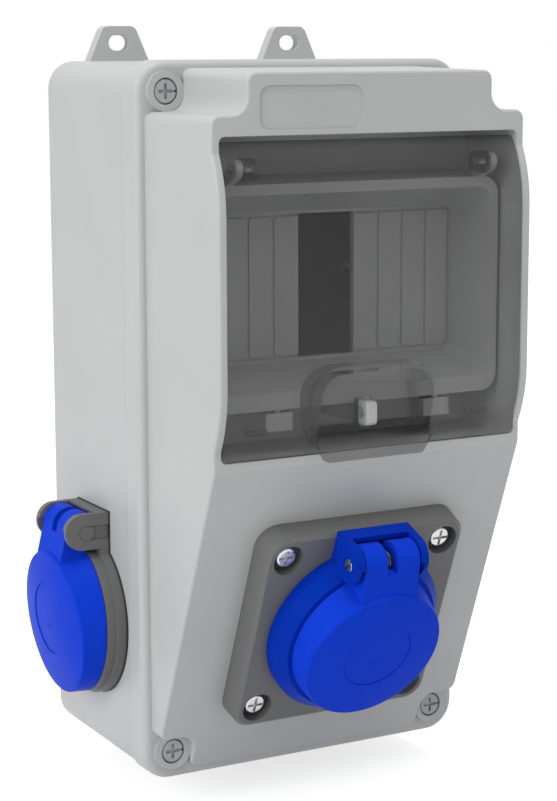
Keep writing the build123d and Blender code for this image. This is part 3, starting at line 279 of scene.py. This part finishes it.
def new_material(name):
    """A material with an empty node tree, its Principled shader and its output."""
    material = bpy.data.materials.new(name)
    material.use_nodes = True
    tree = material.node_tree
    tree.nodes.clear()
    shader = tree.nodes.new("ShaderNodeBsdfPrincipled")
    output = tree.nodes.new("ShaderNodeOutputMaterial")
    tree.links.new(shader.outputs["BSDF"], output.inputs["Surface"])
    return material, tree, shader, output


def link_finish(tree, shader, tint, skin):
    """Gives a shader its drifting colour, its roughness and its relief."""
    tree.links.new(tint.outputs["Colour"], shader.inputs["Base Color"])
    tree.links.new(skin.outputs["Roughness"], shader.inputs["Roughness"])
    tree.links.new(skin.outputs["Normal"], shader.inputs["Normal"])


def plastic(name, colour, drift=0.03, grain=2600.0, depth=0.15, smooth=0.40, coarse=0.52,
            edge=0.0004, gloss=0.5):
    """Moulded plastic with its grain, soft edges and slight drift of colour."""
    material, tree, shader, _ = new_material(name)
    shader.inputs["Specular IOR Level"].default_value = gloss
    tint = place_group(tree, TINT_DRIFT, Colour=(*colour, 1), Drift=drift)
    skin = place_group(tree, MOULDED_GRAIN, Grain_scale=grain, Depth=depth, Smooth_roughness=smooth,
                       Coarse_roughness=coarse, Edge_radius=edge)
    link_finish(tree, shader, tint, skin)
    return material


def metal(name, colour, bright=0.18, dull=0.34, drift=0.05):
    """Plated or bare metal with drawn lines."""
    material, tree, shader, _ = new_material(name)
    shader.inputs["Metallic"].default_value = 1.0
    tint = place_group(tree, TINT_DRIFT, Colour=(*colour, 1), Drift=drift, Patch_scale=METAL_PATCH_SCALE)
    skin = place_group(tree, BRUSHED_LINES, Bright_roughness=bright, Dull_roughness=dull)
    link_finish(tree, shader, tint, skin)
    return material


def smoked_plastic():
    """Smoked clear sheet: tinted, with a glossy skin, and open to light from the lamps."""
    material, tree, shader, output = new_material("smoked clear flap")
    shader.inputs["Transmission Weight"].default_value = 1.0
    shader.inputs["IOR"].default_value = FLAP_IOR
    shader.inputs["Coat Weight"].default_value = FLAP_SKIN
    shader.inputs["Coat IOR"].default_value = FLAP_SKIN_IOR
    shader.inputs["Coat Roughness"].default_value = FLAP_SKIN_ROUGHNESS
    tint = place_group(tree, TINT_DRIFT, Colour=(*SMOKE, 1), Drift=FLAP_DRIFT)
    skin = place_group(tree, MOULDED_GRAIN, Smooth_roughness=FLAP_SMOOTH, Coarse_roughness=FLAP_COARSE)
    tree.links.new(tint.outputs["Colour"], shader.inputs["Base Color"])
    tree.links.new(skin.outputs["Roughness"], shader.inputs["Roughness"])
    lamp_way = tree.nodes.new("ShaderNodeBsdfTransparent")
    lamp_way.inputs["Color"].default_value = (*[value ** LAMP_TINT_POWER for value in SMOKE], 1)
    path = tree.nodes.new("ShaderNodeLightPath")
    mix = tree.nodes.new("ShaderNodeMixShader")
    tree.links.new(path.outputs["Is Shadow Ray"], mix.inputs["Fac"])
    tree.links.new(shader.outputs["BSDF"], mix.inputs[1])
    tree.links.new(lamp_way.outputs["BSDF"], mix.inputs[2])
    tree.links.new(mix.outputs["Shader"], output.inputs["Surface"])
    return material


def dress(material, *nodes):
    """Gives CAD nodes a material."""
    for name in nodes:
        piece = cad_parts[name]
        piece.data.materials.clear()
        piece.data.materials.append(material)


def dress_plastics():
    """The moulded pieces: greys of the case and flange, blue of the lids, a deeper blue with painted
    shade on the front socket's body, black insides and seals.
    """
    dress(plastic("grey shell plastic", SHELL_GREY), "base", "cover")
    dress(plastic("grey tray plastic", TRAY_GREY, smooth=0.45, coarse=0.55), "module_tray")
    dress(plastic("grey screw plastic", SCREW_GREY, smooth=0.35, coarse=0.45, edge=0.0002),
          "cover_screw_1", "cover_screw_2", "cover_screw_3", "cover_screw_4")
    dress(plastic("dark grey flange plastic", FLANGE_GREY, smooth=0.42, coarse=0.55, gloss=0.35),
          "front_flange", "side_socket_body", "side_lid_pin")
    dress(plastic("blue lid plastic", LID_BLUE, **BLUE_FINISH), "front_lid", "side_lid")
    # The deeper blue on the socket body is painted shade on its collar
    dress(plastic("blue socket plastic with painted shade", SOCKET_BLUE_PAINTED_SHADE, **BLUE_FINISH), "front_socket_body")
    dress(plastic("black carrier plastic", CARRIER_BLACK, smooth=0.45, coarse=0.6),
          "front_contact_carrier", "side_contact_carrier", "side_ring_nut")
    dress(plastic("black seal rubber", SEAL_BLACK, grain=1500.0, depth=0.2, smooth=0.6, coarse=0.8),
          "cover_seal", "front_flange_seal", "side_socket_seal", "front_lid_seal", "side_lid_seal")


def dress_metals():
    """The screws, pins, springs, rail and contacts; the springs are darkened as painted shade."""
    dress(metal("bright screw steel", BRIGHT_STEEL),
          "front_flange_screws", "front_carrier_screw", "side_carrier_screw",
          "rail_screws", "flap_pins", "front_lid_pin")
    # The dark steel on the springs is painted shade inside the lids' slots
    dress(metal("spring steel darkened as painted shade", SPRING_STEEL_PAINTED_SHADE, bright=0.30, dull=0.45),
          "front_lid_spring", "side_lid_spring")
    dress(metal("zinc rail steel", RAIL_ZINC, bright=0.28, dull=0.45), "mounting_rail")
    dress(metal("contact brass", CONTACT_BRASS, bright=0.2, dull=0.35),
          "front_contacts", "side_contacts", "front_earth_strap", "side_earth_strap")


def seen_directly(tree):
    """One for rays from the camera, from a mirror or through the clear flap, and zero for the rest."""
    path = tree.nodes.new("ShaderNodeLightPath")
    seen = path.outputs["Is Camera Ray"]
    for label in ("Is Transmission Ray", "Is Glossy Ray"):
        either = tree.nodes.new("ShaderNodeMath")
        either.operation = "MAXIMUM"
        tree.links.new(seen, either.inputs[0])
        tree.links.new(path.outputs[label], either.inputs[1])
        seen = either.outputs[0]
    return seen


def make_floor():
    """A white floor that shows white to the camera and keeps the shadow."""
    mesh = bpy.data.meshes.new("studio_floor")
    low = cad_low[2] - FLOOR_GAP
    corners = [(x * FLOOR_HALF, y * FLOOR_HALF, low) for x, y in ((-1, -1), (1, -1), (1, 1), (-1, 1))]
    mesh.from_pydata(corners, [], [(0, 1, 2, 3)])
    floor = bpy.data.objects.new("studio_floor", mesh)
    bpy.context.scene.collection.objects.link(floor)
    material, tree, shader, output = new_material("studio white")
    shader.inputs["Base Color"].default_value = (*FLOOR_WHITE, 1)
    shader.inputs["Roughness"].default_value = FLOOR_ROUGHNESS
    glow = tree.nodes.new("ShaderNodeEmission")
    tree.links.new(remap(tree, seen_directly(tree), 0.0, 1.0, 0.0, FLOOR_GLOW), glow.inputs["Strength"])
    both = tree.nodes.new("ShaderNodeAddShader")
    tree.links.new(shader.outputs["BSDF"], both.inputs[0])
    tree.links.new(glow.outputs["Emission"], both.inputs[1])
    tree.links.new(both.outputs["Shader"], output.inputs["Surface"])
    mesh.materials.append(material)


def make_sky():
    """White surroundings: full white where they are seen, and dimmer where they light the box."""
    world = bpy.data.worlds.new("studio_world")
    bpy.context.scene.world = world
    world.use_nodes = True
    tree = world.node_tree
    tree.nodes.clear()
    light = tree.nodes.new("ShaderNodeBackground")
    light.inputs["Color"].default_value = (*SKY_WHITE, 1)
    strength = remap(tree, seen_directly(tree), 0.0, 1.0, SKY_LIGHT, SKY_SEEN)
    tree.links.new(strength, light.inputs["Strength"])
    sky = tree.nodes.new("ShaderNodeOutputWorld")
    tree.links.new(light.outputs["Background"], sky.inputs["Surface"])


def make_lamps():
    """Soft square lamps at the left, in front and above, all aimed at the box."""
    for kind in LAMPS:
        lamp = bpy.data.lights.new(kind.name, "AREA")
        lamp.shape = "SQUARE"
        lamp.size = kind.size
        lamp.energy = kind.watts
        holder = bpy.data.objects.new(kind.name, lamp)
        turn = (LAMP_AIM - kind.place).to_track_quat("-Z", "Y")
        holder.matrix_world = Matrix.Translation(kind.place) @ turn.to_matrix().to_4x4()
        bpy.context.scene.collection.objects.link(holder)


make_camera()
MOULDED_GRAIN = moulded_grain_group()
TINT_DRIFT = tint_drift_group()
BRUSHED_LINES = brushed_group()
dress_plastics()
dress_metals()
dress(smoked_plastic(), "window_flap")
make_floor()
make_sky()
make_lamps()
bpy.context.scene.view_settings.view_transform = "Standard"
